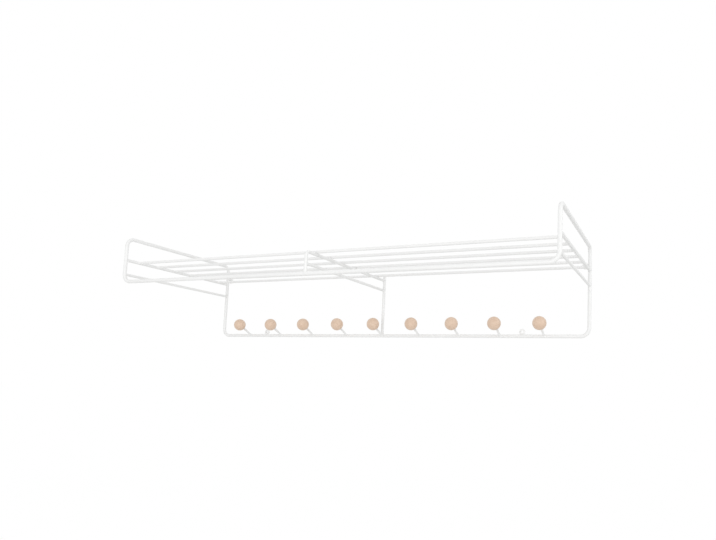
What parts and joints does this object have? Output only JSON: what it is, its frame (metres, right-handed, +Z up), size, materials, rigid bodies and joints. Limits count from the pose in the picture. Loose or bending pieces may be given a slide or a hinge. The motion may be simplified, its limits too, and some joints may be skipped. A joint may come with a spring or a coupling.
{
  "type": "wall-mounted hat rack",
  "caption": "Wall-mounted hat rack of white bent wire: an open wire shelf between raised ends, over a wall rail of leaning pegs with wooden balls.",
  "frame": {"origin": "on the wall plane, midway between the two lower fixing holes", "axes": "+X along the wall to the right as seen from the room, +Y into the wall, +Z up"},
  "size_m": [1, 0.35, 0.202],
  "materials": {
    "white_coat": "satin white powder coat on steel wire",
    "wood": "pale turned hardwood, matt clear oil"
  },
  "bodies": {
    "root": {"wall_frame": "white_coat", "front_frame": "white_coat", "left_top_rail": "white_coat", "left_shelf_rail": "white_coat", "left_lower_rail": "white_coat", "right_top_rail": "white_coat", "right_shelf_rail": "white_coat", "right_lower_rail": "white_coat", "middle_post": "white_coat", "middle_bracket": "white_coat", "middle_lower_rail": "white_coat", "shelf_wire_1": "white_coat", "shelf_wire_2": "white_coat", "shelf_wire_3": "white_coat", "shelf_wire_4": "white_coat", "shelf_wire_5": "white_coat", "shelf_wire_6": "white_coat", "peg_stem_1": "white_coat", "peg_stem_2": "white_coat", "peg_stem_3": "white_coat", "peg_stem_4": "white_coat", "peg_stem_5": "white_coat", "peg_stem_6": "white_coat", "peg_stem_7": "white_coat", "peg_stem_8": "white_coat", "peg_stem_9": "white_coat", "peg_ball_1": "wood", "peg_ball_2": "wood", "peg_ball_3": "wood", "peg_ball_4": "wood", "peg_ball_5": "wood", "peg_ball_6": "wood", "peg_ball_7": "wood", "peg_ball_8": "wood", "peg_ball_9": "wood", "lower_left_eyelet": "white_coat", "lower_right_eyelet": "white_coat", "upper_left_eyelet": "white_coat", "upper_right_eyelet": "white_coat"}
  },
  "joints": []
}
